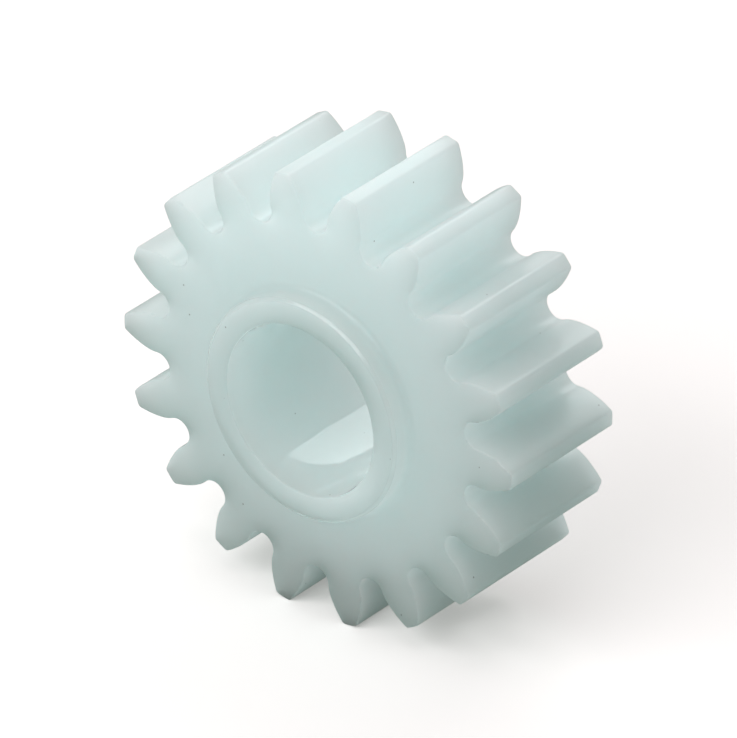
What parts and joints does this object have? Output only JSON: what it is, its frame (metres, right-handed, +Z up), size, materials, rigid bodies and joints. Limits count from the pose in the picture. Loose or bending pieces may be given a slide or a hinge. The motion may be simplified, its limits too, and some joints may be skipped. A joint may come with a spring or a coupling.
{
  "type": "spur gear",
  "caption": "Straight-toothed involute spur gear in translucent white plastic, with a plain round bore and a low raised boss on one face.",
  "frame": {"origin": "on the bore's axis, at the middle of the toothed width", "axes": "+Y along the bore's axis and out of the plain back face, so the boss faces -Y; +Z up, with a tooth gap straight down so that the gear stands on two teeth; a tooth points along +X"},
  "size_m": [0.04, 0.015, 0.0396],
  "materials": {
    "natural_plastic": "satin, slightly cloudy, translucent natural plastic with a cold white tint"
  },
  "bodies": {
    "root": {"spur_gear": "natural_plastic"}
  },
  "joints": []
}
